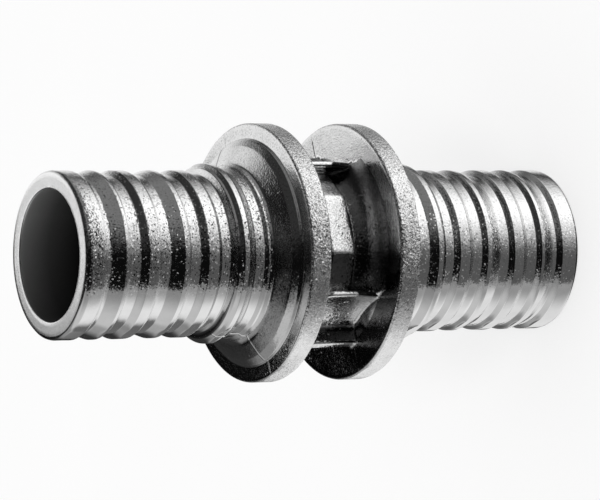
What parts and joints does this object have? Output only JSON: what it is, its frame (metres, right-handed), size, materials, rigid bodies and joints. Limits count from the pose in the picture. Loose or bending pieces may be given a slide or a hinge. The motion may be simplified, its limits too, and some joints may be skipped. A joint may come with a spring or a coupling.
{
  "type": "pipe coupling",
  "caption": "Straight metal coupling for cross-linked polyethylene pipe: ribbed spigots at both ends, a flange pair between them and a bore right through.",
  "frame": {"origin": "centre of the lower end face, on the bore axis", "axes": "+Z along the bore axis towards the other end; +X is up in the picture and -Y faces its camera"},
  "size_m": [0.04, 0.04, 0.0872],
  "materials": {
    "plated_metal": "satin plated forging with a fine cast grain, brighter on crests and rims"
  },
  "bodies": {
    "root": {"coupling_body": "plated_metal"}
  },
  "joints": []
}
